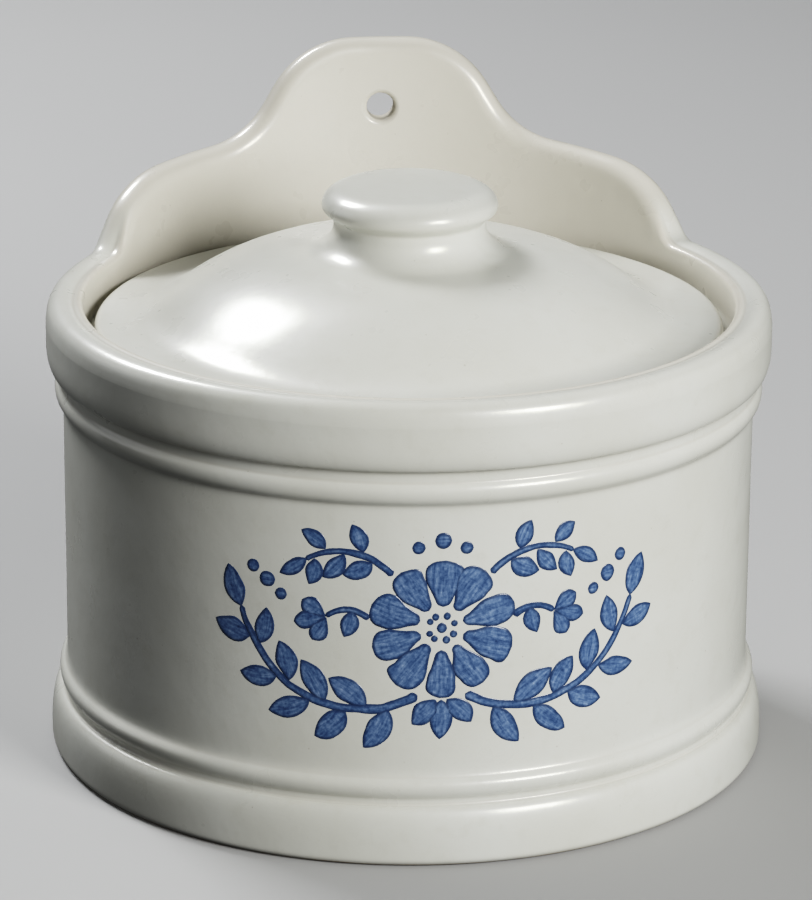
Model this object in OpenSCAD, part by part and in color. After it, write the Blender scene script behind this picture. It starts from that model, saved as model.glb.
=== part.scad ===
// Lidded stoneware salt crock with a hanging plate at the back.
// Millimetres. +Z up, the foot stands on z = 0, the crock's axis is the Z axis,
// the hanging plate is at +Y and the front is at -Y.

/* [Crock] */
// Outer radius of the plain wall
wall_r = 71.6; // [70:0.2:74]
// Thickness of the plain wall
wall_t = 6.4; // [5.6:0.2:7]
// Height of the rim's crest
crest_z = 96.2; // [92:0.2:104]
// How far the rim band stands out from the wall
rim_out = 3.4; // [3:0.1:4]
// Thickness of the rim band
rim_t = 7.7; // [7.4:0.1:8.2]
// Height of the rim band
rim_h = 13.6; // [13:0.1:15]
// Height of the inside floor
floor_z = 7; // [6:0.5:9]

/* [Mouldings] */
// How far the bead under the rim band stands out from the wall
bead_out = 1.75; // [1.4:0.05:2]
// How far the bead over the foot stands out from the wall
foot_bead_out = 1.6; // [1.3:0.05:1.8]
// How far the foot stands out from the wall
foot_out = 3.45; // [3:0.05:3.8]
// Height of the foot band
foot_h = 12.2; // [11:0.2:14]
// Depth of the recess inside the foot ring
foot_recess = 2; // [1:0.25:2.5]

/* [Hanging plate] */
// Height of the plate's top above the rim's crest
plate_rise = 37; // [36:0.1:38.5]
// Half length of the level top
plate_flat = 5.9; // [4:0.1:7]
// Radius of the round head
head_r = 21; // [20:0.5:23]
// Radius of the hollow between the head and a wing
hollow_r = 16.6; // [15:0.1:18]
// Length of a wing's straight edge
wing_l = 15.2; // [13:0.1:17]
// Radius of the nail hole
hole_r = 3; // [2:0.25:4]
// Depth of the nail hole below the plate's top
hole_drop = 15; // [12:0.1:18]

/* [Lid] */
// Radial gap between the lid and the rim
lid_gap = 2.3; // [1:0.1:3]
// Depth of the lid's seat below the rim's crest
seat_depth = 9.7; // [9:0.1:11]
// Width of the seat, measured in from the rim
seat_w = 6.8; // [6:0.1:7]
// Thickness of the lid's brim
brim_t = 4.9; // [4:0.1:6]
// Radius of the dome at its base
dome_r = 58; // [57:0.5:59]
// Height of the dome above the brim, if it had no knob
dome_h = 14.9; // [13:0.1:16]
// Wall thickness of the dome
dome_t = 5.2; // [4.5:0.1:6]
// Radius of the knob
knob_r = 18.2; // [17.6:0.1:19.5]
// Radius of the knob's stem
stem_r = 15.7; // [14:0.1:16]
// Height of the knob's top above the brim
knob_h = 28; // [27:0.1:30]

/* [Hidden] */
$fn = 96;

// Stoneware under a pale satin glaze
glaze = [0.80, 0.79, 0.75];

// ---- derived sizes ----
rim_r = wall_r + rim_out;        // outside of the rim band
rim_ri = rim_r - rim_t;          // inside of the rim band
rim_z = crest_z - rim_h;         // underside of the rim band
wall_ri = wall_r - wall_t;       // inside of the wall
foot_r = wall_r + foot_out;      // outside of the foot
seat_z = crest_z - seat_depth;   // the seat's level face
seat_ri = rim_ri - seat_w;       // inner edge of the seat
lid_r = rim_ri - lid_gap;        // edge of the lid
brim_z = seat_z + brim_t;        // top of the brim at its edge
ring_r = seat_ri - 1.1;          // outside of the lid's locating ring
ring_ri = ring_r - 4.2;          // inside of that ring
ring_z = seat_z - 4.5;           // lower edge of that ring
knob_z = brim_z + knob_h;        // top of the knob
plate_ri = rim_ri + 0.3;         // inner face of the hanging plate
plate_ro = rim_r - 0.5;          // outer face of the hanging plate
plate_rm = (plate_ri + plate_ro) / 2;
plate_z = crest_z + plate_rise;  // top of the plate
hole_z = plate_z - hole_drop;

// Points along an arc: centre, radius (a number or [across, up]), start and end angle, steps
function arc(c, r, a0, a1, n) =
    let (rr = is_list(r) ? r : [r, r])
    [for (i = [0:n]) let (a = a0 + (a1 - a0) * i / n) c + [rr.x * cos(a), rr.y * sin(a)]];

// ---- crock ----
// Half section, from the axis under the floor, out, up, and back down the inside
crock_section = concat(
    // foot ring and its recess
    [[0, foot_recess], [foot_r - 12.55, foot_recess], [foot_r - 10.95, 0.5], [foot_r - 10.15, 0]],
    arc([foot_r - 2.1, 1.65], [2.1, 1.65], -90, 0, 6),
    // long shoulder of the foot, groove and bead
    [for (i = [1:12]) let (a = 90 * i / 12)
        [foot_r - 2.72 + 2.72 * pow(cos(a), 0.71), 1.65 + (foot_h - 1.65) * pow(sin(a), 0.71)]],
    [[wall_r + 0.6, foot_h + 0.4], [wall_r + 0.62, foot_h + 0.9]],
    arc([wall_r - 0.2, foot_h + 3.8], [foot_bead_out + 0.2, 2.6], -60, -10, 4),
    arc([wall_r - 0.2, foot_h + 3.8], [foot_bead_out + 0.2, 2], 0, 82, 6),
    [[wall_r, foot_h + 6.3]],
    // wall, then the bead under the rim band and the groove over it
    [[wall_r, rim_z - 8.2]],
    arc([wall_r - 0.15, rim_z - 4.8], [bead_out + 0.15, 2.8], -82, -10, 5),
    arc([wall_r - 0.15, rim_z - 4.8], [bead_out + 0.15, 2.15], 0, 66, 5),
    [[wall_r + 0.6, rim_z - 0.2], [wall_r + 0.9, rim_z + 0.1]],
    // rim band, rounded under, with a round outer edge and a tighter inner one
    arc([rim_r - 1.64, rim_z + 4.17], [1.64, 4.5], -82, 0, 7),
    arc([rim_r - 3.1, crest_z - 2.85], [2.95, 2.85], 8, 90, 8),
    [[rim_ri + 2.6, crest_z - 0.25]],
    arc([rim_ri + 1.1, crest_z - 1.6], 1.1, 75, 180, 6),
    // lid seat
    arc([rim_ri - 1.5, seat_z + 1.5], 1.5, 0, -90, 5),
    arc([seat_ri + 1.5, seat_z - 1.5], 1.5, 90, 180, 5),
    [[seat_ri, seat_z - 4], [wall_ri - 0.4, seat_z - 9.2], [wall_ri, seat_z - 10.5]],
    // inside wall and floor
    arc([wall_ri - 7.5, floor_z + 7.5], 7.5, 0, -90, 8),
    [[0, floor_z]]
);

// ---- hanging plate ----
// Half outline of the plate, unrolled: straight runs and arcs that follow each other.
// p is [along the rim, height]; a heading of 0 is level and positive headings go down.
function run(p, a, l) = p + l * [cos(a), -sin(a)];
function bend(p, r, a0, a1, n) =   // the points of an arc that turns from heading a0 to a1
    let (s = a1 > a0 ? r : -r)
    [for (i = [0:n]) let (a = a0 + (a1 - a0) * i / n)
        p + s * [sin(a) - sin(a0), cos(a) - cos(a0)]];

head_a = 57.5;      // steepest heading beside the head
head_l = 4.6;       // straight run beside the head
wing_a = 5.4;       // fall of a wing's straight edge
shoulder_a = 32;    // heading where a wing's shoulder tightens
side_a = 55.5;      // steepest heading at a wing's end
shoulder_r = 28.3;  // first, easy part of a wing's shoulder
corner_r = 14.2;    // second, tighter part
root_r = 3.7;       // hollow where the wing meets the rim
root_a = 20;        // heading where the wing runs into the rim

o1 = bend([plate_flat, plate_z], head_r, 0, head_a, 6);
o2 = bend(run(o1[6], head_a, head_l), hollow_r, head_a, wing_a, 6);
o3 = bend(run(o2[6], wing_a, wing_l), shoulder_r, wing_a, shoulder_a, 3);
o4 = bend(o3[3], corner_r, shoulder_a, side_a, 3);
// the wing's side runs down until the root's hollow ends just above the crest
root_drop = root_r * (cos(root_a) - cos(side_a));
side_l = max(0.5, (o4[3].y - crest_z - root_drop - 0.6) / sin(side_a));
o5 = bend(run(o4[3], side_a, side_l), root_r, side_a, root_a, 3);
outline = concat([[0, plate_z]], o1, o2, o3, [o4[1], o4[2], o4[3]], o5, [run(o5[3], root_a, 5)]);
// points at most step apart along it
step = 4.6;
fine = concat(
    [for (i = [0:len(outline) - 2]) let (d = outline[i + 1] - outline[i], n = ceil(norm(d) / step))
        for (k = [0:n - 1]) outline[i] + d * k / n],
    [outline[len(outline) - 1]]);
// the whole edge, from one side to the other
edge = concat([for (i = [len(fine) - 1:-1:1]) [-fine[i].x, fine[i].y]], fine);

// Section of the plate in a radial plane, under an edge at height z: its top is rounded across
plate_t = plate_ro - plate_ri;
plate_root_z = crest_z - 8;
function round_drop(u) = plate_t / 2 * (sqrt(1 - 0.5 * 0.5) - sqrt(1 - u * u));
function plate_section(z) = concat(
    [[plate_ri, plate_root_z], [plate_ro, plate_root_z]],
    [for (u = [1, 0.87, 0.5, -0.5, -0.87, -1]) [plate_rm + u * plate_t / 2, z - round_drop(u)]]);

module hanging_plate() {
    // one section per edge point, each in its own radial plane
    m = 8;
    n = len(edge);
    pts = [for (e = edge) let (a = e.x / plate_rm * 180 / PI)
        for (q = plate_section(e.y)) [q.x * sin(a), q.x * cos(a), q.y]];
    sides = [for (i = [0:n - 2], j = [0:m - 1]) let (k = (j + 1) % m)
        each [[i * m + j, (i + 1) * m + j, (i + 1) * m + k], [i * m + j, (i + 1) * m + k, i * m + k]]];
    ends = [[for (j = [0:m - 1]) j], [for (j = [m - 1:-1:0]) (n - 1) * m + j]];
    polyhedron(points = pts, faces = concat(sides, ends), convexity = 6);
}

module crock() {
    color(glaze)
    difference() {
        union() {
            rotate_extrude() polygon(crock_section);
            hanging_plate();
        }
        // nail hole
        translate([0, plate_ri - 8, hole_z]) rotate([-90, 0, 0]) cylinder(r = hole_r, h = plate_t + 16);
    }
}

// ---- lid ----
// Height of the dome's outside by radius: a crown, a straight flank and a hollow foot
function dome_share(u) = u < 0.836 ? 1 - 0.71 * pow(u / 0.836, 3.3)
    : u < 0.879 ? 0.29 - 2.8 * (u - 0.836) : 11.57 * pow(max(0, 1 - u), 2);
function dome_z(r) = brim_z + 0.3 + dome_h * dome_share(r / dome_r);
function dome_slope(r) = (dome_z(r - 0.05) - dome_z(r + 0.05)) / 0.1;
function under_z(r) = dome_z(r) - dome_t * sqrt(1 + pow(dome_slope(r), 2));

flare_z = dome_z(stem_r + 6.8);
stem_z = flare_z + 5.6;           // where the flare begins
lid_section = concat(
    // knob: slightly crowned top and a bun's round edge
    [[0, knob_z], [7, knob_z - 0.07], [11, knob_z - 0.22]],
    arc([knob_r - 5.2, knob_z - 4], [5.2, 3.72], 80, 0, 9),
    arc([knob_r - 2.9, knob_z - 4], [2.9, 2], -12, -62, 5),
    // stem and its flare
    [[stem_r + 0.2, knob_z - 6.1], [stem_r, knob_z - 6.6]],
    arc([stem_r + 6.8, stem_z], [6.8, 5.6], 180, 264, 9),
    // dome, brim and edge
    [for (r = [stem_r + 8.8:1.5:dome_r - 0.5]) [r, dome_z(r)]],
    [[dome_r + 0.4, brim_z + 0.3]],
    arc([lid_r - 1.5, brim_z - 1.5], 1.5, 90, 0, 5),
    arc([lid_r - 1.6, seat_z + 1.6], 1.6, 0, -90, 5),
    // level seat face and the locating ring
    [[ring_r + 0.7, seat_z], [ring_r, seat_z - 0.7]],
    arc([ring_r - 1.5, ring_z + 1.5], 1.5, 0, -90, 4),
    arc([ring_ri + 1.5, ring_z + 1.5], 1.5, -90, -180, 4),
    // hollow underside
    [[ring_ri - 0.5, ring_z + 2.8]],
    [for (r = [dome_r - 7:-3:20]) [r, under_z(r)]],
    [[14, under_z(14)], [11, under_z(11) + 1], [9.4, under_z(11) + 4], [9, knob_z - 10], [7.5, knob_z - 7.6], [4, knob_z - 6.4], [0, knob_z - 6.2]]
);

module lid() {
    color(glaze)
    rotate_extrude() polygon(lid_section);
}

crock();
lid();
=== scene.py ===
import math

import bpy
import numpy as np
from mathutils import Matrix, Vector


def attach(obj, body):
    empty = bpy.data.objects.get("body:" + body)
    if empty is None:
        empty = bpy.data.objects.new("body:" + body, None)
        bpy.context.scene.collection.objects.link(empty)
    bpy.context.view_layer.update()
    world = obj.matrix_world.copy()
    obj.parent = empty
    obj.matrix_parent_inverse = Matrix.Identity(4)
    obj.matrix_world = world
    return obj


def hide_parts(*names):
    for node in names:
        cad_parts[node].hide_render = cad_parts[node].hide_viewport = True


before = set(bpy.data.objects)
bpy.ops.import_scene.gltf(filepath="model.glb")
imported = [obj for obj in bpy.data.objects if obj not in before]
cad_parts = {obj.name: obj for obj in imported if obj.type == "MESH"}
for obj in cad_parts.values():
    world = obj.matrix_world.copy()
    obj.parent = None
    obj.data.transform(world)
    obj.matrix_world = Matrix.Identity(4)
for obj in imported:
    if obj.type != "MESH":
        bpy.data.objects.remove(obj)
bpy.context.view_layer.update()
MM = 0.001
scene = bpy.context.scene


# ------------------------------------------------------------------ camera
def add_camera():
    az, el, roll = math.radians(-5.5), math.radians(18.765), math.radians(0.406)
    target, dist = Vector((0.0, 0.0, 0.061982)), 0.982459
    back = Vector((math.sin(az) * math.cos(el), -math.cos(az) * math.cos(el), math.sin(el)))
    right = Vector((math.cos(az), math.sin(az), 0.0))
    up = back.cross(right)
    r2 = right * math.cos(roll) + up * math.sin(roll)
    u2 = up * math.cos(roll) - right * math.sin(roll)
    m = Matrix((r2, u2, back)).transposed().to_4x4()
    m.translation = target + back * dist
    data = bpy.data.cameras.new("camera")
    data.lens, data.sensor_width = 188.163, 36.0
    data.shift_x = -1.992 / 900.0
    data.clip_start, data.clip_end = 0.05, 50.0
    cam = bpy.data.objects.new("camera", data)
    scene.collection.objects.link(cam)
    cam.matrix_world = m
    scene.camera = cam


add_camera()


# ------------------------------------------------------------------ curves in a half section
def arc(c, r, a0, a1, n=28):
    rx, ry = r if isinstance(r, tuple) else (r, r)
    a = np.radians(np.linspace(a0, a1, n))
    return [(c[0] + rx * math.cos(t), c[1] + ry * math.sin(t)) for t in a]


def dense(points, step=0.05):
    """The polyline with evenly spaced points."""
    p = np.array(points, float)
    p = p[np.r_[True, np.linalg.norm(np.diff(p, axis=0), axis=1) > 1e-6]]
    s = np.r_[0, np.cumsum(np.linalg.norm(np.diff(p, axis=0), axis=1))]
    t = np.linspace(0, s[-1], int(s[-1] / step) + 1)
    return np.stack([np.interp(t, s, p[:, k]) for k in range(p.shape[1])], 1)


def eased(p, sigma, step=0.05):
    """The evenly spaced line with its corners eased over about sigma millimetres, its ends held."""
    n = int(4 * sigma / step)
    k = np.exp(-0.5 * (np.arange(-n, n + 1) * step / sigma) ** 2)
    k /= k.sum()
    ends = np.concatenate([2 * p[0] - p[n:0:-1], p, 2 * p[-1] - p[-2:-n - 2:-1]])
    q = np.stack([np.convolve(ends[:, j], k, "valid") for j in range(p.shape[1])], 1)
    q[0], q[-1] = p[0], p[-1]
    return q


def turning(p, window=5):
    """Signed turn per millimetre along a line; positive turns left."""
    d = np.gradient(p, axis=0)
    a = np.unwrap(np.arctan2(d[:, 1], d[:, 0]))
    s = np.r_[0, np.cumsum(np.linalg.norm(np.diff(p, axis=0), axis=1))]
    k = np.gradient(a, np.maximum(s, np.arange(len(s)) * 1e-9))
    return np.convolve(np.pad(k, window, "edge"), np.ones(2 * window + 1) / (2 * window + 1), "valid"), s


def graded(p, angle, shortest, longest, grow=0.3):
    """Picks points along a line: close where it turns, far apart where it runs straight, with the steps growing gently."""
    k, s = turning(p)
    far = longest(p) if callable(longest) else np.full(len(p), longest)
    h = np.clip(math.radians(angle) / np.maximum(np.abs(k), 1e-6), shortest, far)
    ds = np.diff(s)
    for i in range(1, len(h)):
        h[i] = min(h[i], h[i - 1] + grow * ds[i - 1])
    for i in range(len(h) - 2, -1, -1):
        h[i] = min(h[i], h[i + 1] + grow * ds[i])
    n = np.r_[0, np.cumsum(ds * 2 / (h[1:] + h[:-1]))]
    t = np.linspace(0, n[-1], int(math.ceil(n[-1])) + 1)
    at = np.interp(t, n, s)
    q = np.stack([np.interp(at, s, p[:, j]) for j in range(p.shape[1])], 1)
    return q, np.interp(at, s, k), at


def smoothstep(x):
    x = np.clip(x, 0, 1)
    return x * x * (3 - 2 * x)


def unevenness(theta, z):
    """How far a thrown and fired wall stands off a true circle, in millimetres."""
    return (0.045 * np.sin(2 * theta + 0.7) + 0.03 * np.sin(3 * theta - 1.1 + 0.03 * z)
            + 0.018 * np.sin(5 * theta + 0.11 * z + 2.0) + 0.010 * np.sin(9 * theta - 0.17 * z))


# ------------------------------------------------------------------ meshes
def make_object(name, verts, faces, uvs=None, attributes=None):
    me = bpy.data.meshes.new(name)
    me.from_pydata([tuple(v) for v in np.asarray(verts, float) * MM], [], faces)
    me.polygons.foreach_set("use_smooth", np.ones(len(me.polygons), bool))
    for key, values in (attributes or {}).items():
        values = np.asarray(values, np.float32)
        if values.ndim == 1:
            me.attributes.new(key, "FLOAT", "POINT").data.foreach_set("value", values)
        else:
            me.attributes.new(key, "FLOAT_VECTOR", "POINT").data.foreach_set("vector", values.ravel())
    if uvs is not None:
        layer = me.uv_layers.new(name="OFBake")
        layer.uv.foreach_set("vector", np.asarray(uvs, np.float32).ravel())
    me.update()
    me.validate()
    ob = bpy.data.objects.new(name, me)
    scene.collection.objects.link(ob)
    return ob


class Shell:
    """Rows of points round an axis, from a point on it to another point on it, as one closed mesh."""

    def __init__(self, columns):
        self.n = columns
        self.verts, self.turn, self.v = [], [], []
        self.rows = []

    def point(self, xyz, turn, v):
        self.rows.append(np.full(self.n, len(self.turn)))
        self.verts.append(np.array([xyz], float))
        self.turn.append(turn)
        self.v.append(v)

    def row(self, xyz, turn, v):
        first = len(self.turn)
        self.rows.append(np.arange(first, first + self.n))
        self.verts.append(xyz)
        self.turn.extend((turn + np.zeros(self.n)).tolist())
        self.v.append(v)


def shell_faces(rows, u, v, skip=None):
    """Faces and their places on the map. u is per column with one more at the end, v per row."""
    faces, uvs = [], []
    n = len(rows[0])
    for j in range(len(rows) - 1):
        a, b = rows[j], rows[j + 1]
        for i in range(n):
            if skip is not None and skip(j, i):
                continue
            k = (i + 1) % n
            if a[i] == a[k]:
                faces.append((int(a[i]), int(b[i]), int(b[k])))
                uvs += [((u[i] + u[i + 1]) / 2, v[j]), (u[i], v[j + 1]), (u[i + 1], v[j + 1])]
            elif b[i] == b[k]:
                faces.append((int(a[i]), int(b[i]), int(a[k])))
                uvs += [(u[i], v[j]), ((u[i] + u[i + 1]) / 2, v[j + 1]), (u[i + 1], v[j])]
            else:
                faces.append((int(a[i]), int(b[i]), int(b[k]), int(a[k])))
                uvs += [(u[i], v[j]), (u[i], v[j + 1]), (u[i + 1], v[j + 1]), (u[i + 1], v[j])]
    return faces, uvs


# ------------------------------------------------------------------ crock
WALL_R, CREST_Z, RIM_R, RIM_RI = 71.6, 96.2, 75.0, 67.3
MID_R, PLATE_Z, HOLE_Z, HOLE_R = 71.1, 133.2, 118.2, 3.0


def crock_section():
    t = np.radians(np.linspace(1.5, 90, 40))
    shoulder = [(72.33 + 2.72 * math.cos(x) ** 0.71, 1.65 + 10.55 * math.sin(x) ** 0.71) for x in t[:-1]] + [(72.33, 12.2)]
    return ([(0, 2), (62.5, 2), (64.1, 0.5), (64.9, 0)]
            + arc((72.95, 1.65), (2.1, 1.65), -90, 0)
            + shoulder
            + [(72.2, 12.6), (72.22, 13.1)]
            + arc((71.4, 16.0), (1.8, 2.6), -60, 0)
            + arc((71.4, 16.0), (1.8, 2.0), 4, 66)
            + [(71.84, 18.25), (71.67, 18.9), (71.6, 19.8), (71.6, 73.4), (71.65, 74.2), (71.82, 74.8)]
            + arc((71.45, 77.8), (1.9, 2.8), -68, 0)
            + arc((71.45, 77.8), (1.9, 2.15), 4, 58)
            + [(72.45, 80.3), (72.5, 81.2), (72.75, 81.9), (73.2, 82.25)]
            + arc((73.36, 86.77), (1.64, 4.5), -74, 0)
            + [(75.0, 89.8), (74.98, 91.2), (74.92, 92.2), (74.81, 93.1)]
            + arc((71.75, 93.35), (2.95, 2.85), 10, 90)
            + [(71.0, 96.14), (70.2, 95.86), (69.6, 95.55), (69.2, 95.46)]      # a faint hollow inside the crest
            + arc((68.35, 94.7), 1.05, 74, 180)
            + arc((65.8, 88.0), 1.5, 0, -90)
            + arc((62.0, 85.0), 1.5, 90, 180)
            + [(60.5, 82.5), (64.8, 77.3), (65.2, 76.0)]
            + arc((57.7, 14.5), 7.5, 0, -90)
            + [(0, 7)])


def plate_outline():
    """Half of the upper edge, unrolled at the middle of the wall: [along, height], from the plate's middle to the front."""
    p, a, out = np.array([0.0, PLATE_Z]), 0.0, [(0.0, PLATE_Z)]

    def run(length):
        nonlocal p
        p = p + length * np.array([math.cos(a), -math.sin(a)])
        out.append(tuple(p))

    def bend(r, to):
        nonlocal p, a
        goal, s, start, a0 = math.radians(to), 1 if math.radians(to) > a else -1, p, a
        for t in np.linspace(a0, goal, 40)[1:]:
            out.append(tuple(start + s * r * np.array([math.sin(t) - math.sin(a0), math.cos(t) - math.cos(a0)])))
        p, a = np.array(out[-1]), goal

    run(5.9)
    bend(21, 57.5)
    run(4.6)
    bend(16.6, 5.4)
    run(15.2)
    bend(28.3, 32)
    bend(14.2, 55.5)
    run((p[1] - CREST_Z - 3.7 * (1 - math.cos(a))) / math.sin(a))
    bend(3.7, 0)
    run(math.pi * MID_R - p[0])
    return out


def build_crock():
    # --- half section, with its corners eased as glaze eases them
    p = eased(dense(crock_section()), 0.28)
    z, r = p[:, 1], p[:, 0]
    top = int(np.argmax(z))
    i1 = int(np.flatnonzero((z[:top] < 88.0) & (r[:top] > 70))[-1]) + 1
    i2 = int(np.flatnonzero(z[:top] < CREST_Z - 4.6)[-1]) + 1
    i3 = top + int(np.flatnonzero(z[top:] < CREST_Z - 3.5)[0])
    i4 = top + int(np.flatnonzero(z[top:] < 89.6)[0])

    def out_far(q):
        plain = (q[:, 1] > 20) & (q[:, 1] < 73)
        return np.where(q[:, 1] < 2.2, np.where(q[:, 0] < 60, 8.0, 2.5), np.where(plain, 4.5, 2.2))

    def in_far(q):
        return np.where(q[:, 1] < 8, 8.0, np.where(q[:, 1] < 74, 5.5, 2.5))

    low, k_low, _ = graded(p[:i1 + 1], 9.0, 0.12, out_far)
    arch, k_arch, _ = graded(p[i2:i3 + 1], 9.0, 0.20, 0.8)
    # the plate's edge is rounder than the rim's: the same number of points along a softer arch
    soft = dense([(RIM_R, CREST_Z - 4.6)] + arc((70.9, CREST_Z - 4.25), (4.1, 4.25), 0, 90)
                 + arc((70.5, CREST_Z - 3.2), 3.2, 90, 180) + [(RIM_RI, CREST_Z - 3.5)])
    share = np.r_[0, np.cumsum(np.linalg.norm(np.diff(arch, axis=0), axis=1))]
    k_soft, way = turning(soft)
    at = share / share[-1] * way[-1]
    k_soft = np.interp(at, way, k_soft)
    soft = np.stack([np.interp(at, way, soft[:, 0]), np.interp(at, way, soft[:, 1])], 1)
    inner, k_in, _ = graded(p[i4:], 11.0, 0.20, in_far)

    # --- upper edge, and the columns along it
    e = eased(dense(plate_outline()), 0.7)
    e[0, 1], e[-1, 1] = e[1, 1], CREST_Z

    def edge_far(q):
        s = q[:, 0]
        return np.where(s < 9, 0.72, np.where(s < 84, 1.25, 2.3))

    half, _, _ = graded(e, 6.0, 0.55, edge_far, grow=0.12)
    half[0, 0], half[-1, 0] = 0.0, math.pi * MID_R
    d = np.gradient(half, axis=0)
    d /= np.linalg.norm(d, axis=1)[:, None]
    d[0], d[-1] = (1, 0), (1, 0)
    h = len(half)
    # round the whole edge: from the plate's middle over +X to the front and back over -X
    S = np.r_[half[:, 0], 2 * math.pi * MID_R - half[-2:0:-1, 0]]
    Z = np.r_[half[:, 1], half[-2:0:-1, 1]]
    Ns = np.r_[d[:, 1], -d[-2:0:-1, 1]]
    Nz = np.r_[-d[:, 0], -d[-2:0:-1, 0]]
    n = len(S)
    thin = 1 - (1 - 7.0 / 7.7) * smoothstep((Z - CREST_Z) / 9.0)
    s_base = S + Ns * 4.6
    theta = s_base / MID_R
    MIDDLE = (RIM_R + RIM_RI) / 2

    def place(rr, th, zz):
        rr = rr + unevenness(th, zz) * np.clip(rr / 60.0, 0, 1)
        return np.stack([rr * np.sin(th), rr * np.cos(th), zz + 0 * rr], 1)

    one = np.ones(n)
    sh = Shell(n)
    v = 0.0
    sh.point((0, 0, low[0, 1]), 0.0, v)
    for j in range(1, len(low)):
        v += float(np.linalg.norm(low[j] - low[j - 1]))
        sh.row(place(low[j, 0] * one, theta, low[j, 1] * one), k_low[j], v)
    first_face = len(sh.rows) - 1                     # the row at the foot of the outer face
    nb = 18
    f_out = 1 - (1 - np.arange(1, nb + 1) / nb) ** 1.45
    zq = Z + Nz * 4.6
    for f in f_out:
        rr = MIDDLE + (low[-1, 0] - MIDDLE) * (1 - (1 - thin) * smoothstep(f * 1.15))
        v += 34.0 / nb
        sh.row(place(rr * one, theta, low[-1, 1] + (zq - low[-1, 1]) * f), 0.0, v)
    last_face = len(sh.rows) - 1
    blend = smoothstep((Z - CREST_Z) / 9.0)
    for j in range(1, len(arch)):
        depth = CREST_Z - (arch[j, 1] + (soft[j, 1] - arch[j, 1]) * blend)
        rr = MIDDLE + (arch[j, 0] + (soft[j, 0] - arch[j, 0]) * blend - MIDDLE) * thin
        v += float(np.linalg.norm(arch[j] - arch[j - 1]))
        sh.row(place(rr, (S + Ns * depth) / MID_R, Z + Nz * depth), k_arch[j] + (k_soft[j] - k_arch[j]) * blend, v)
    first_in = len(sh.rows) - 1
    depth = CREST_Z - arch[-1, 1]
    sq, zq2 = S + Ns * depth, Z + Nz * depth
    f_in = np.r_[(1 - f_out[::-1])[1:], 1.0]
    for f in f_in:
        rr = MIDDLE + (inner[0, 0] - MIDDLE) * (1 - (1 - thin) * smoothstep((1 - f) * 1.15))
        v += 34.0 / nb
        sh.row(place(rr * one, (sq + (s_base - sq) * f) / MID_R, zq2 + (inner[0, 1] - zq2) * f), 0.0, v)
    last_in = len(sh.rows) - 1
    for j in range(1, len(inner) - 1):
        v += float(np.linalg.norm(inner[j] - inner[j - 1]))
        sh.row(place(inner[j, 0] * one, theta, inner[j, 1] * one), k_in[j], v)
    v += float(np.linalg.norm(inner[-1] - inner[-2]))
    sh.point((0, 0, inner[-1, 1]), 0.0, v)

    verts = np.concatenate(sh.verts)
    turn = np.array(sh.turn, float)
    u = np.r_[theta, 2 * math.pi] / (2 * math.pi) * 0.98 + 0.01
    vv = np.array(sh.v) / v * 0.98 + 0.01

    # --- nail hole: a block of faces on each side of the plate gives way to rings that run into a round bore
    c = int(np.searchsorted(half[:, 0], 6.6))
    cols = [(i % n) for i in range(-c, c + 1)]

    def z_at(j):
        return verts[sh.rows[j][0], 2]

    def nearest(rows, zz):
        return min(rows, key=lambda j: abs(z_at(j) - zz))

    out_lo = nearest(range(first_face, last_face + 1), HOLE_Z - 6.3)
    out_hi = nearest(range(first_face, last_face + 1), HOLE_Z + 6.3)
    in_lo = nearest(range(first_in, last_in + 1), HOLE_Z - 6.3)   # rows go down on this side
    in_hi = in_lo - (out_hi - out_lo)

    def loop_of(j0, j1):
        step = 1 if j1 > j0 else -1
        rows = list(range(j0, j1 + step, step))
        idx = [(j0, i) for i in cols] + [(j, cols[-1]) for j in rows[1:]]
        idx += [(j1, i) for i in cols[-2::-1]] + [(j, cols[0]) for j in rows[-2:0:-1]]
        return [int(sh.rows[j][i]) for j, i in idx], idx

    out_loop, out_idx = loop_of(out_lo, out_hi)
    in_loop, in_idx = loop_of(in_lo, in_hi)
    inside = set(range(-c, c))
    skip_cols = {i % n for i in inside}

    def skip(j, i):
        return i in skip_cols and (out_lo <= j < out_hi or in_hi <= j < in_lo)

    faces, uvs = shell_faces(sh.rows, u, vv, skip)
    extra, extra_turn = [], []
    m = len(out_loop)
    out_xz = verts[out_loop][:, [0, 2]]
    in_xz = verts[in_loop][:, [0, 2]]
    r_out = float(np.hypot(*verts[sh.rows[(out_lo + out_hi) // 2][0], :2]))
    r_in = float(np.hypot(*verts[sh.rows[(in_lo + in_hi) // 2][0], :2]))
    centre = np.array([0.0, HOLE_Z])
    ang = np.arctan2(out_xz[:, 1] - HOLE_Z, out_xz[:, 0])
    even = np.unwrap(ang)
    even = even[0] + np.linspace(0, 2 * math.pi, m + 1)[:-1] * 0.55 + (even - even[0]) * 0.45
    round_ = np.stack([np.cos(even), np.sin(even)], 1)
    lip, lip_back, deep_back = 1.2, 1.6, 3.4
    rings = []      # (points, turn, map radius, side)

    def face_ring(edge_xz, t, radius_from, side_r):
        xz = edge_xz * (1 - t) + (centre + round_ * radius_from) * t
        drift = np.hypot(verts[out_loop, 0], verts[out_loop, 1]) if side_r is r_out else np.hypot(verts[in_loop, 0], verts[in_loop, 1])
        rr = drift * (1 - t) + side_r * t
        return np.stack([xz[:, 0], np.sqrt(rr ** 2 - xz[:, 0] ** 2), xz[:, 1]], 1)

    for t in (0.22, 0.42, 0.6, 0.76, 0.9, 1.0):
        rings.append((face_ring(out_xz, t, HOLE_R + lip_back, r_out), 0.0, 0))
    bend_ = np.radians(np.linspace(0, 90, 11))[1:]

    def bore_ring(radius, side_r, depth, sign):
        xz = centre + round_ * radius
        y = np.sqrt(side_r ** 2 - xz[:, 0] ** 2) - sign * depth
        return np.stack([xz[:, 0], y, xz[:, 1]], 1)

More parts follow.
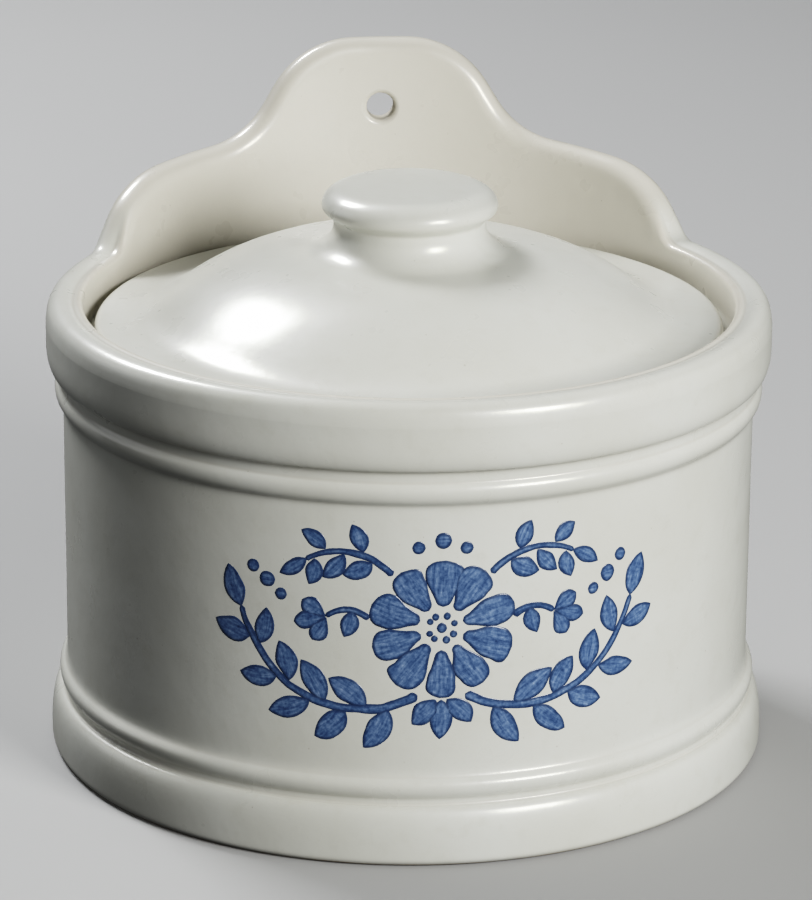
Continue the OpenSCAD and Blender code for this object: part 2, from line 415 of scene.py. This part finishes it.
    for a in bend_:
        rings.append((bore_ring(HOLE_R + lip_back * (1 - math.sin(a)), r_out, deep_back * (1 - math.cos(a)), 1), -0.4, 0))
    for t in (0.33, 0.67):
        a0 = bore_ring(HOLE_R, r_out, deep_back, 1)
        a1 = bore_ring(HOLE_R, r_in, lip, -1)
        rings.append((a0 * (1 - t) + a1 * t, 0.2, 0 if t < 0.5 else 1))
    for a in bend_[::-1]:
        rings.append((bore_ring(HOLE_R + lip * (1 - math.sin(a)), r_in, lip * (1 - math.cos(a)), -1), -0.6, 1))
    for t in (1.0, 0.9, 0.76, 0.6, 0.42, 0.22):
        rings.append((face_ring(in_xz, t, HOLE_R + lip, r_in), 0.0, 1))
    start = len(verts)
    loops = [out_loop] + [list(range(start + q * m, start + (q + 1) * m)) for q in range(len(rings))] + [in_loop]
    verts = np.concatenate([verts] + [x[0] for x in rings])
    turn = np.r_[turn, np.repeat([x[1] for x in rings], m)]
    # the map of the rings shrinks into the middle of each block
    u_mid, v_out, v_in = u[0], (vv[out_lo] + vv[out_hi]) / 2, (vv[in_lo] + vv[in_hi]) / 2

    def uv_of_loop(idx):
        us = np.array([u[i] if i <= n // 2 else u[i] - 0.98 for _, i in idx])
        return np.stack([us, np.array([vv[j] for j, _ in idx])], 1)

    uo, ui = uv_of_loop(out_idx), uv_of_loop(in_idx)
    mid = len(rings) // 2 + 1
    for q in range(len(loops) - 1):
        a, b = loops[q], loops[q + 1]
        for k in range(m):
            g = (k + 1) % m
            faces.append((a[k], b[k], b[g], a[g]))
            if q < mid:
                s0, s1, base, mid_v = 1 - q / (mid + 1), 1 - (q + 1) / (mid + 1), uo, v_out
            else:
                top_q = len(loops) - 1
                s0, s1 = 1 - (top_q - q) / (mid + 1), 1 - (top_q - q - 1) / (mid + 1)
                base, mid_v = ui, v_in
            o = np.array([u_mid, mid_v])
            for kk, ss in ((k, s0), (k, s1), (g, s1), (g, s0)):
                w = o + (base[kk] - o) * ss
                uvs.append((w[0], w[1]))
    uvs = np.array(uvs)
    uvs[:, 0] = np.where(uvs[:, 0] < 0.005, uvs[:, 0] + 0.98, uvs[:, 0])
    return make_object("crock_body", verts, faces, uvs, {"turn": turn})


# ------------------------------------------------------------------ lid
def lid_section():
    def dome(rr):
        """A crown, a straight flank and a hollow foot."""
        u = rr / 58.0
        if u < 0.836:
            share = 1 - 0.71 * (u / 0.836) ** 3.3
        elif u < 0.879:
            share = 0.29 - 2.8 * (u - 0.836)
        else:
            share = 11.57 * max(0.0, 1 - u) ** 2
        return 91.7 + 14.9 * share

    def under(rr):
        slope = (dome(rr - 0.05) - dome(rr + 0.05)) / 0.1
        return dome(rr) - 5.2 * math.sqrt(1 + slope ** 2)

    stem_z = dome(22.5) + 5.6
    return ([(0, 119.4), (4, 119.38), (7, 119.33), (9, 119.26), (11, 119.18)]
            + arc((13.0, 115.4), (5.2, 3.72), 80, 0)
            + arc((15.3, 115.4), (2.9, 2.1), -4, -50)
            + [(15.85, 112.75), (15.7, 112.3)]
            + arc((22.5, stem_z), (6.8, 5.6), 180, 258)
            + [(rr, dome(rr)) for rr in np.arange(24.5, 58.3, 0.5)]
            + arc((63.5, 89.9), 1.5, 90, 0)
            + arc((63.4, 88.1), 1.6, 0, -90)
            + [(60.1, 86.5), (59.4, 85.8)]
            + arc((57.9, 83.5), 1.5, 0, -90)
            + arc((56.7, 83.5), 1.5, -90, -180)
            + [(54.7, 84.8)]
            + [(rr, under(rr)) for rr in np.arange(51, 19.5, -1.0)]
            + [(14, under(14)), (11, under(11) + 1), (9.4, under(11) + 4), (9, 109.4), (7.5, 111.8), (4, 113.0), (0, 113.2)])


def build_lid():
    p = eased(dense(lid_section()), 0.3)
    edge = int(np.argmax(p[:, 0]))

    def far(q):
        return np.where(np.arange(len(q)) < edge, 1.5, 3.0)

    q, k, s = graded(p, 5.0, 0.12, far)
    n = 320
    theta = np.arange(n) * 2 * math.pi / n
    # unevenness goes along the surface's own normal here, and fades on the faces that fit the crock
    d = np.gradient(q, axis=0)
    d /= np.maximum(np.linalg.norm(d, axis=1)[:, None], 1e-9)
    normal = np.stack([-d[:, 1], d[:, 0]], 1)
    sh = Shell(n)
    total = s[-1]
    sh.point((0, 0, q[0, 1]), 0.0, 0.0)
    for j in range(1, len(q) - 1):
        rr, zz = q[j]
        w = (0.035 * np.sin(2 * theta + 2.1) + 0.025 * np.sin(3 * theta + 0.05 * rr) + 0.02 * np.sin(5 * theta - 0.16 * rr + 1.0)
             + 0.012 * np.sin(8 * theta + 0.3 * rr)) * float(np.clip(rr / 20, 0, 1)) * (1.0 if zz > 88.5 else 0.0)
        # the half section runs from the knob's top outwards, so its left is the outside
        rr, zz = rr + w * normal[j, 0], zz + w * normal[j, 1]
        sh.row(np.stack([rr * np.sin(-theta), rr * np.cos(-theta), zz + 0 * rr], 1), k[j], s[j] / total)
    sh.point((0, 0, q[-1, 1]), 0.0, 1.0)
    u = np.linspace(0.01, 0.99, n + 1)
    v = np.array(sh.v) * 0.98 + 0.01
    faces, uvs = shell_faces(sh.rows, u, v)
    return make_object("lid_body", np.concatenate(sh.verts), faces, uvs, {"turn": np.array(sh.turn, float)})


crock = build_crock()
lid = build_lid()


# ------------------------------------------------------------------ painted spray on the front wall
class Painter:
    """Brush strokes on the wall, as thin closed skins. Points are [along the wall to the right, height] in millimetres."""

    def __init__(self, seed):
        self.rng = np.random.default_rng(seed)
        self.verts, self.faces, self.uvs = [], [], []
        self.edge, self.brush = [], []
        self.count = 0
        self.layer = 0

    def wobble(self, n, size, length):
        """Smooth unevenness along n points."""
        k = max(2, int(length / 2.2) + 2)
        return np.interp(np.linspace(0, 1, n), np.linspace(0, 1, k), self.rng.normal(0, size, k))

    def stroke(self, spine, width, step=0.55, across=8, rough=0.07, lift=0.0):
        """width(t) is the half width along the spine, zero at both ends."""
        sp = dense(spine, 0.05)
        if len(sp) > 60:
            sp = eased(sp, 0.5)
        length = float(np.linalg.norm(np.diff(sp, axis=0), axis=1).sum())
        n = max(9, int(length / step) + 1)
        t = 0.5 - 0.5 * np.cos(np.linspace(0, math.pi, n))
        t = 0.65 * t + 0.35 * np.linspace(0, 1, n)
        at = np.linspace(0, 1, len(sp))
        c = np.stack([np.interp(t, at, sp[:, k]) for k in (0, 1)], 1)
        d = np.gradient(c, axis=0)
        d /= np.linalg.norm(d, axis=1)[:, None]
        nrm = np.stack([-d[:, 1], d[:, 0]], 1)
        w = np.array([width(x) for x in t])
        w[0] = w[-1] = 0
        left = np.maximum(w * (1 + self.wobble(n, rough, length)), 0)
        right = np.maximum(w * (1 + self.wobble(n, rough, length)), 0)
        vs = np.linspace(-1, 1, across + 1)
        vs = np.sign(vs) * (1 - (1 - np.abs(vs)) ** 1.35)      # closer lines near the edges
        pts, brush = [c[0]], [(0.0, 0.0)]
        for i in range(1, n - 1):
            for x in vs:
                side = left[i] if x > 0 else right[i]
                pts.append(c[i] + nrm[i] * x * side)
                brush.append((t[i] * length, x * side))
        pts.append(c[-1])
        brush.append((length, 0.0))
        pts, brush = np.array(pts), np.array(brush)
        a = across + 1

        def at_(i, j):
            return 0 if i == 0 else (1 + (n - 2) * a if i == n - 1 else 1 + (i - 1) * a + j)

        rim = [0] + [at_(i, a - 1) for i in range(1, n - 1)] + [at_(n - 1, 0)] + [at_(i, 0) for i in range(n - 2, 0, -1)]
        ring = pts[rim]
        # distance of each point from the stroke's outline
        seg = np.roll(ring, -1, axis=0) - ring
        rel = pts[:, None, :] - ring[None]
        k = np.clip((rel * seg[None]).sum(2) / np.maximum((seg ** 2).sum(1), 1e-12)[None], 0, 1)
        dist = np.linalg.norm(rel - k[..., None] * seg[None], axis=2).min(1)
        dist[rim] = 0
        height = -0.03 + (0.075 + lift + 0.0005 * self.layer) * smoothstep(dist / 0.28)
        self.layer += 1
        self.skin(pts, height, dist, brush, rim, n, a, at_)

    def skin(self, pts, height, dist, brush, rim, n, a, at_):
        first, m = self.count, len(pts)
        seed = float(self.rng.uniform(0, 40))
        for sign in (1, 0):
            h = height if sign else np.full(m, -0.25)
            al = pts[:, 0] / WALL_R
            rr = WALL_R + unevenness(math.pi - al, pts[:, 1]) + h
            self.verts.append(np.stack([rr * np.sin(al), -rr * np.cos(al), pts[:, 1]], 1))
            self.edge.append(dist)
            self.brush.append(np.stack([brush[:, 0], brush[:, 1], np.full(m, seed)], 1))
        self.count += 2 * m
        uv = np.stack([(pts[:, 0] + 50) / 100, (pts[:, 1] - 20) / 52 * 0.94 + 0.06], 1)
        low = np.stack([uv[:, 0], (uv[:, 1] - 0.06) * 0.05], 1)

        def add(ids, flip, maps):
            ids, maps = (ids[::-1], maps[::-1]) if flip else (ids, maps)
            self.faces.append(tuple(first + i for i in ids))
            self.uvs.extend(tuple(x) for x in maps)

        for sign in (0, 1):
            off = 0 if sign == 0 else m
            table = uv if sign == 0 else low
            for i in range(n - 1):
                for j in range(a - 1):
                    ids = [at_(i, j), at_(i + 1, j), at_(i + 1, j + 1), at_(i, j + 1)]
                    ids = [x for q, x in enumerate(ids) if x not in ids[:q]]
                    add([x + off for x in ids], sign == 1, [table[x] for x in ids])
        for q in range(len(rim)):
            x, y = rim[q], rim[(q + 1) % len(rim)]
            add([x, x + m, y + m, y], True, [low[x], low[x], low[y], low[y]])

    # -- shapes
    def leaf(self, base, angle, length, width, bend=0.0, blunt=0.0):
        """Pointed at both ends, widest nearer its base. angle in degrees, bend is the sideways bow in millimetres."""
        g = math.radians(angle)
        f, s = np.array([math.cos(g), math.sin(g)]), np.array([-math.sin(g), math.cos(g)])
        t = np.linspace(0, 1, 24)
        spine = [np.array(base) + f * length * x + s * bend * 4 * x * (1 - x) for x in t]
        peak = 0.40 + 0.25 * blunt

        def w(x):
            y = x ** (math.log(0.5) / math.log(peak))
            return width / 2 * math.sin(math.pi * y) ** (0.85 - 0.25 * blunt)

        self.stroke(spine, w)

    def petal(self, centre, angle, near, far, width):
        g = math.radians(angle)
        f = np.array([math.cos(g), math.sin(g)])
        s = np.array([-math.sin(g), math.cos(g)])
        bow = self.rng.normal(0, 0.25)
        t = np.linspace(0, 1, 24)
        spine = [np.array(centre) + f * (near + (far - near) * x) + s * bow * 4 * x * (1 - x) for x in t]

        def w(x):
            body = 0.34 + 0.66 * float(smoothstep(x / 0.62))
            ends = min(1.0, math.sqrt(max(0.0, 1 - ((0.10 - x) / 0.10) ** 2)) if x < 0.10 else 1.0)
            tip = math.sqrt(max(0.0, 1 - ((x - 0.74) / 0.26) ** 2)) if x > 0.74 else 1.0
            return width / 2 * body * ends * tip

        self.stroke(spine, w, step=0.5)

    def dot(self, centre, r):
        x0 = np.array(centre) - (r, 0)
        spine = [x0 + (2 * r * x, 0) for x in np.linspace(0, 1, 20)]
        self.stroke(spine, lambda x: r * math.sqrt(max(0.0, 1 - (2 * x - 1) ** 2)), step=0.3, rough=0.05, lift=0.006)

    def stem(self, points, w0, w1):
        def w(x):
            ends = min(1.0, math.sqrt(max(0.0, min(x, 1 - x) / 0.02)))
            return (w0 + (w1 - w0) * x) / 2 * ends

        self.stroke(points, w, step=0.7, across=6, rough=0.10, lift=-0.012)


def bezier(p0, p1, p2, p3, n=60):
    t = np.linspace(0, 1, n)[:, None]
    p0, p1, p2, p3 = (np.array(p, float) for p in (p0, p1, p2, p3))
    return (1 - t) ** 3 * p0 + 3 * t * (1 - t) ** 2 * p1 + 3 * t * t * (1 - t) * p2 + t ** 3 * p3


def build_spray():
    pt = Painter(11)
    rng = np.random.default_rng(5)
    mid = np.array([0.0, 49.5])

    def branch(side, line, spots, lengths, width, spread, w0, w1, blunt=0.35):
        """A stem with leaves on both sides; side is 1 to the right and -1 to the left."""
        pts = line * np.array([side, 1.0])
        pt.stem(pts, w0, w1)
        d = np.gradient(pts, axis=0)
        for way, places in ((side, spots[0]), (-side, spots[1])):      # the hollow side of the bow, then the outer side
            for x in places:
                i = int(x * (len(pts) - 1))
                heading = math.degrees(math.atan2(d[i, 1], d[i, 0]))
                size = np.interp(x, [0, 1], lengths)
                jig = rng.normal(0, 1, 4)
                turn = way * (spread + 3.0 * jig[0])
                base = pts[i] + 0.5 * np.array([-math.sin(math.radians(heading)), math.cos(math.radians(heading))]) * way
                pt.leaf(base, heading + turn, size * (1 + 0.05 * jig[1]), width * size / lengths[0] * (1 + 0.05 * jig[2]),
                        bend=way * (0.45 + 0.12 * jig[3]), blunt=blunt)
        heading = math.degrees(math.atan2(d[-1, 1], d[-1, 0]))
        pt.leaf(pts[-1] - 0.5 * d[-1] / np.linalg.norm(d[-1]), heading, lengths[1] * 1.15, width * 0.82, bend=0.2, blunt=blunt)

    for side in (1, -1):
        j = rng.normal(0, 0.4, (6, 2))
        # the long lower branch
        low = bezier(np.array((4.6, 35.6)), np.array((13.5, 30.4)) + j[0], np.array((34.0, 29.6)) + j[1], np.array((40.4, 51.5)) + j[2])
        branch(side, low, ((0.30, 0.50, 0.69, 0.87), (0.20, 0.39, 0.57, 0.74, 0.90)), (10.4, 8.0), 5.7, 45, 2.3, 1.5)
        # the upper sprig
        high = bezier(np.array((9.6, 60.4)), np.array((13.5, 65.0)) + j[3] * 0.5, np.array((20.6, 67.0)), np.array((27.0, 62.9)) + j[4] * 0.4)
        branch(side, high, ((0.42, 0.78), (0.28, 0.60, 0.92)), (6.8, 6.0), 4.2, 50, 1.8, 1.3)
        # the middle stalk with three buds
        mids = bezier(np.array((14.2, 51.2)), np.array((17.0, 53.4)), np.array((20.0, 53.6)) + j[5] * 0.4, np.array((23.0, 51.2)))
        pts = mids * np.array([side, 1.0])
        pt.stem(pts, 1.7, 1.35)
        end = pts[-1]
        for turn, size in ((-46, 6.0), (0, 7.0), (46, 6.0)):
            heading = -14 if side > 0 else -166
            pt.leaf(end - np.array([side * 0.3, 0.0]), heading + turn, size, 4.0, bend=0.1, blunt=0.9)
        pt.leaf(pts[24], -74 if side > 0 else -106, 6.0, 3.8, bend=-0.35 * side, blunt=0.35)
        # berries
        for x, y, r in ((34.8, 57.3, 1.75), (38.0, 60.4, 1.45), (31.6, 54.7, 1.35)):
            pt.dot((side * (x + rng.normal(0, 0.25)), y + rng.normal(0, 0.25)), r)

    # three leaves that hang under the flower
    for turn, size in ((-90, 8.6), (-48, 7.2), (-132, 7.2)):
        pt.leaf((0.0 + 1.5 * math.cos(math.radians(turn)), 34.6), turn + rng.normal(0, 2), size, 4.9, bend=0.15, blunt=0.35)
    pt.dot((0.2, 67.6), 1.75)
    pt.dot((-4.6, 66.2), 1.4)
    pt.dot((4.8, 66.0), 1.4)

    # the flower
    for q in range(10):
        a = 90 + q * 36 + rng.normal(0, 1.6)
        pt.petal(mid, a, 4.4 + rng.normal(0, 0.15), 14.3 + rng.normal(0, 0.35), 7.0 + rng.normal(0, 0.25))
    for q in range(8):
        a = math.radians(20 + q * 45 + rng.normal(0, 4))
        pt.dot(mid + 2.65 * np.array([math.cos(a), math.sin(a)]), 0.82 + rng.normal(0, 0.05))
    pt.dot(mid, 1.1)
    return make_object("blue_spray", np.concatenate(pt.verts), pt.faces, np.array(pt.uvs),
                       {"edge": np.concatenate(pt.edge), "brush": np.concatenate(pt.brush)})


spray = build_spray()


# ------------------------------------------------------------------ materials
class Nodes:
    """Short hands for a material's node tree."""

    def __init__(self, name):
        self.mat = bpy.data.materials.new(name)
        self.mat.use_nodes = True
        self.nt = self.mat.node_tree
        self.nt.nodes.clear()
        self.out = self.nt.nodes.new("ShaderNodeOutputMaterial")
        self.bsdf = self.nt.nodes.new("ShaderNodeBsdfPrincipled")
        self.nt.links.new(self.bsdf.outputs["BSDF"], self.out.inputs["Surface"])
        self.x = 0

    def new(self, kind, **props):
        node = self.nt.nodes.new(kind)
        self.x -= 40
        node.location = (self.x, (self.x * 7) % 600)
        for k, v in props.items():
            setattr(node, k, v)
        return node

    def put(self, socket, value):
        if isinstance(value, bpy.types.NodeSocket):
            self.nt.links.new(value, socket)
        elif value is not None:
            socket.default_value = value

    def coord(self):
        return self.new("ShaderNodeTexCoord").outputs["Object"]

    def attribute(self, name, out="Fac"):
        return self.new("ShaderNodeAttribute", attribute_name=name).outputs[out]

    def math(self, op, a, b=None, c=None, clamp=False):
        n = self.new("ShaderNodeMath", operation=op, use_clamp=clamp)
        for s, v in zip(n.inputs, (a, b, c)):
            self.put(s, v)
        return n.outputs[0]

    def vmath(self, op, a, b=None):
        n = self.new("ShaderNodeVectorMath", operation=op)
        self.put(n.inputs[0], a)
        self.put(n.inputs[1], b)
        return n.outputs[0]

    def noise(self, vector, scale, detail=2.0, rough=0.5, distortion=0.0, out="Fac"):
        n = self.new("ShaderNodeTexNoise")
        self.put(n.inputs["Vector"], vector)
        n.inputs["Scale"].default_value = scale
        n.inputs["Detail"].default_value = detail
        n.inputs["Roughness"].default_value = rough
        n.inputs["Distortion"].default_value = distortion
        return n.outputs[out]

    def voronoi(self, vector, scale, out="Distance"):
        n = self.new("ShaderNodeTexVoronoi")
        self.put(n.inputs["Vector"], vector)
        n.inputs["Scale"].default_value = scale
        return n

    def band(self, value, lo, hi, to_lo=0.0, to_hi=1.0, smooth=True):
        n = self.new("ShaderNodeMapRange", interpolation_type="SMOOTHSTEP" if smooth else "LINEAR")
        for s, v in zip(n.inputs, (value, lo, hi, to_lo, to_hi)):
            self.put(s, v)
        return n.outputs[0]

    def mix(self, fac, a, b):
        n = self.new("ShaderNodeMix", data_type="RGBA")
        self.put(n.inputs[0], fac)
        self.put(n.inputs[6], a)
        self.put(n.inputs[7], b)
        return n.outputs[2]

    def bump(self, height, distance, strength=1.0, normal=None):
        n = self.new("ShaderNodeBump")
        n.inputs["Strength"].default_value = strength
        n.inputs["Distance"].default_value = distance
        self.put(n.inputs["Height"], height)
        self.put(n.inputs["Normal"], normal)
        return n.outputs[0]


def rgb(r, g, b):
    return (r, g, b, 1.0)


def glaze_material(name, bare, bounce_warmth):
    """Pale satin stoneware glaze: soft clouding, fine mottling, a few iron specks and pin holes, thinner on edges, with
    painted shade in the hollows and painted bounce light that tints the plate and the inside of the rim warmer.
    bare is a function that gives the mask of the unglazed clay, bounce_warmth is how strongly the painted bounce light
    tints the upper part and the inside of the rim."""
    m = Nodes(name)
    p = m.coord()
    turn = m.attribute("turn")
    cloud = m.noise(p, 26.0, 3.0, 0.55)
    mottle = m.noise(p, 260.0, 3.0, 0.6)
    grain = m.noise(p, 1500.0, 2.0, 0.6)
    colour = m.mix(m.band(cloud, 0.30, 0.72), rgb(0.648, 0.646, 0.584), rgb(0.696, 0.700, 0.648))
    colour = m.mix(m.math("MULTIPLY", m.band(mottle, 0.50, 0.80), 0.36), colour, rgb(0.590, 0.584, 0.515))
    colour = m.mix(m.math("MULTIPLY", m.band(grain, 0.55, 0.85), 0.20), colour, rgb(0.560, 0.550, 0.480))
    # painted bounce light: the tall plate and the inside of the rim are tinted warmer, in place of light bounced
    # between plate, rim and lid
    x, y, z = separate(m, p)
    radius = m.math("SQRT", m.math("ADD", m.math("MULTIPLY", x, x), m.math("MULTIPLY", y, y)))
    inside = m.math("MULTIPLY", m.band(radius, 0.0700, 0.0680), m.band(z, 0.0865, 0.0885))
    bounce_tint = m.math("MULTIPLY", m.math("MAXIMUM", m.band(z, 0.096, 0.108), inside), bounce_warmth)
    colour = m.mix(bounce_tint, colour, rgb(0.690, 0.642, 0.548))
    # painted shade darkens the hollows and grooves of the profile; the glaze thins on edges, where the clay shows
    # through a little
    hollow = m.band(turn, -0.15, -1.1)
    edge = m.band(turn, 0.18, 0.95)
    worn = m.math("MULTIPLY", edge, m.band(m.noise(p, 420.0, 3.0, 0.6), 0.35, 0.75))
    colour = m.mix(m.math("MULTIPLY", hollow, 0.35), colour, rgb(0.47, 0.44, 0.38))
    colour = m.mix(m.math("MULTIPLY", worn, 0.30), colour, rgb(0.60, 0.545, 0.455))
    # iron specks, of two sizes, each in some of its cells only
    specks = None
    for scale, size, share, jig in ((120.0, 0.022, 0.72, 1.3), (300.0, 0.040, 0.80, 7.7)):
        v = m.voronoi(m.vmath("ADD", p, (jig, 0.3 * jig, 0.7 * jig)), scale)
        pick = m.band(m.new_separate(v.outputs["Color"]), share, share + 0.02, smooth=False)
        spot = m.math("MULTIPLY", m.band(v.outputs["Distance"], size * 1.6, size * 0.6), pick)
        specks = spot if specks is None else m.math("MAXIMUM", specks, spot)
    colour = m.mix(m.math("MULTIPLY", specks, 0.38), colour, rgb(0.27, 0.23, 0.17))
    clay = m.mix(m.noise(p, 900.0, 3.0, 0.65), rgb(0.50, 0.42, 0.31), rgb(0.63, 0.55, 0.43))
    mask = bare(m, p)
    colour = m.mix(mask, colour, clay)
    m.put(m.bsdf.inputs["Base Color"], colour)
    rough = m.band(m.noise(p, 90.0, 3.0, 0.6), 0.3, 0.7, 0.265, 0.315, smooth=False)
    rough = m.math("ADD", rough, m.math("MULTIPLY", mask, 0.42))
    m.put(m.bsdf.inputs["Roughness"], rough)
    m.bsdf.inputs["IOR"].default_value = 1.58
    wave = m.noise(p, 55.0, 2.0, 0.5)
    peel = m.noise(p, 520.0, 2.0, 0.5)
    n1 = m.bump(wave, 0.00022, 1.0)
    pits = m.math("SUBTRACT", m.math("MULTIPLY", peel, 0.55), m.math("MULTIPLY", specks, 0.35))
    n2 = m.bump(pits, 0.000045, 1.0, n1)
    n3 = m.bump(m.math("MULTIPLY", mask, m.noise(p, 2600.0, 3.0, 0.7)), 0.00006, 1.0, n2)
    m.put(m.bsdf.inputs["Normal"], n3)
    return m.mat


def new_separate(self, colour):
    n = self.new("ShaderNodeSeparateColor")
    self.put(n.inputs[0], colour)
    return n.outputs[0]


Nodes.new_separate = new_separate


def separate(m, p):
    n = m.new("ShaderNodeSeparateXYZ")
    m.put(n.inputs[0], p)
    return n.outputs


def foot_bare(m, p):
    """The ring that stood on the kiln shelf: below a slightly wandering line."""
    z = separate(m, p)[2]
    line = m.math("ADD", z, m.math("MULTIPLY", m.math("SUBTRACT", m.noise(p, 60.0, 3.0, 0.6), 0.5), 0.0009))
    return m.band(line, 0.00075, 0.00050)


def ring_bare(m, p):
    """The level face under the lid's brim and its locating ring, wiped clean for the firing."""
    s = separate(m, p)
    r = m.math("SQRT", m.math("ADD", m.math("MULTIPLY", s[0], s[0]), m.math("MULTIPLY", s[1], s[1])))
    line = m.math("ADD", s[2], m.math("MULTIPLY", m.math("SUBTRACT", m.noise(p, 70.0, 3.0, 0.6), 0.5), 0.0008))
    low = m.band(line, 0.08700, 0.08672)
    return m.math("MULTIPLY", low, m.band(r, 0.0556, 0.0562))


def paint_material():
    """Cobalt laid on with a brush: dark where the colour gathers at the edge of a stroke, streaky inside."""
    m = Nodes("blue_underglaze")
    p = m.coord()
    edge = m.attribute("edge")
    brush = m.attribute("brush", "Vector")
    along = m.vmath("MULTIPLY", brush, (0.26, 1.7, 1.0))
    streak = m.noise(along, 1.0, 3.0, 0.62)
    cross = m.noise(m.vmath("MULTIPLY", brush, (1.5, 0.7, 1.0)), 1.0, 2.0, 0.5)
    fine = m.noise(p, 1500.0, 3.0, 0.65)
    tone = m.math("ADD", m.math("MULTIPLY", streak, 0.55), m.math("ADD", m.math("MULTIPLY", cross, 0.25), m.math("MULTIPLY", fine, 0.30)))
    ramp = m.new("ShaderNodeValToRGB")
    m.put(ramp.inputs[0], tone)
    cr = ramp.color_ramp
    cr.elements[0].position, cr.elements[0].color = 0.36, rgb(0.020, 0.046, 0.122)
    cr.elements[1].position, cr.elements[1].color = 0.76, rgb(0.310, 0.410, 0.600)
    for at, c in ((0.46, rgb(0.048, 0.092, 0.205)), (0.55, rgb(0.088, 0.150, 0.290)), (0.65, rgb(0.165, 0.245, 0.410))):
        el = cr.elements.new(at)
        el.color = c
    rag = m.math("ADD", edge, m.math("MULTIPLY", m.math("SUBTRACT", m.noise(p, 900.0, 3.0, 0.6), 0.5), 0.65))
    line = m.band(rag, 0.88, 0.28)
    colour = m.mix(m.math("MULTIPLY", line, 0.86), ramp.outputs[0], rgb(0.017, 0.038, 0.100))
    m.put(m.bsdf.inputs["Base Color"], colour)
    m.put(m.bsdf.inputs["Roughness"], m.band(m.noise(p, 200.0, 3.0, 0.6), 0.3, 0.7, 0.25, 0.30, smooth=False))
    m.bsdf.inputs["IOR"].default_value = 1.58
    m.put(m.bsdf.inputs["Normal"], m.bump(m.noise(p, 520.0, 2.0, 0.5), 0.000016, 1.0, m.bump(m.noise(p, 55.0, 2.0, 0.5), 0.00022, 1.0)))
    return m.mat


crock.data.materials.append(glaze_material("crock_glaze_look", foot_bare, 0.65))
lid.data.materials.append(glaze_material("lid_glaze_look", ring_bare, 0.0))
spray.data.materials.append(paint_material())

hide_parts("crock")
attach(crock, "crock")
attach(spray, "crock")
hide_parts("lid")
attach(lid, "lid")


# ------------------------------------------------------------------ floor, light
def add_floor():
    n, size = 24, 6.0
    g = np.linspace(-size, size, n + 1)
    verts = [(x, y, 0.0) for y in g for x in g]
    faces = [(j * (n + 1) + i, j * (n + 1) + i + 1, (j + 1) * (n + 1) + i + 1, (j + 1) * (n + 1) + i) for j in range(n) for i in range(n)]
    me = bpy.data.meshes.new("floor")
    me.from_pydata(verts, [], faces)
    ob = bpy.data.objects.new("floor", me)
    scene.collection.objects.link(ob)
    m = Nodes("floor_paper")
    p = m.coord()
    m.put(m.bsdf.inputs["Base Color"], m.mix(m.noise(p, 3.0, 2.0, 0.5), rgb(0.425, 0.425, 0.425), rgb(0.455, 0.455, 0.450)))
    m.bsdf.inputs["Roughness"].default_value = 0.75
    me.materials.append(m.mat)
    # the light that comes back off the floor is kept from the crock, as over a dark table
    ob.visible_diffuse = ob.visible_glossy = False


def add_light(name, az, el, dist, width, height, power, colour=(1, 1, 1)):
    a, e = math.radians(az), math.radians(el)
    way = Vector((math.sin(a) * math.cos(e), -math.cos(a) * math.cos(e), math.sin(e)))
    data = bpy.data.lights.new(name, "AREA")
    data.shape, data.size, data.size_y = "RECTANGLE", width, height
    data.energy, data.color = power, colour
    ob = bpy.data.objects.new(name, data)
    ob.location = Vector((0, 0, 0.07)) + way * dist
    ob.rotation_euler = way.to_track_quat("Z", "Y").to_euler()
    scene.collection.objects.link(ob)


add_floor()
add_light("key", 34.6, 20.8, 0.9, 0.34, 0.34, 7.75, (1.0, 1.0, 0.985))
add_light("back_box", -143.5, 46.0, 1.2, 0.36, 0.30, 9.2, (0.975, 0.985, 1.0))
add_light("back_glow", -145.0, 47.0, 1.25, 0.74, 0.62, 2.9, (0.975, 0.985, 1.0))      # the soft edge of the box
add_light("left_fill", -104.0, 15.0, 1.3, 0.80, 0.70, 1.5, (0.97, 0.985, 1.0))
world = bpy.data.worlds.new("studio")
scene.world = world
world.use_nodes = True
world.node_tree.nodes["Background"].inputs[0].default_value = (0.93, 0.96, 1.0, 1.0)
world.node_tree.nodes["Background"].inputs[1].default_value = 0.036


def add_tone():
    """A photograph's tone: a soft toe and a long shoulder."""
    view = scene.view_settings
    view.view_transform, view.look = "Standard", "None"
    view.use_curve_mapping = True
    cm = view.curve_mapping
    cm.use_clip, cm.extend = False, "EXTRAPOLATED"
    white = 1.6                                     # the curve's own scale ends here
    cm.white_level = (white, white, white)

    def tone(x):
        low = x ** 1.455 / (x ** 1.455 + 0.403 ** 1.455)
        return low + (1.0 - low) * float(smoothstep((x - 0.78) / 0.70))     # bright glints go to white

    xs = (0.0, 0.03, 0.07, 0.13, 0.2, 0.3, 0.42, 0.56, 0.70, 0.80, 0.88, 0.97, 1.06, 1.15, 1.24, 1.34, 1.6)
    c = cm.curves[3]
    c.points[0].location = (0.0, 0.0)
    c.points[1].location = (1.0, tone(white))
    for x in xs[1:-1]:
        c.points.new(x / white, tone(x))
    cm.update()


add_tone()

bpy.context.view_layer.update()
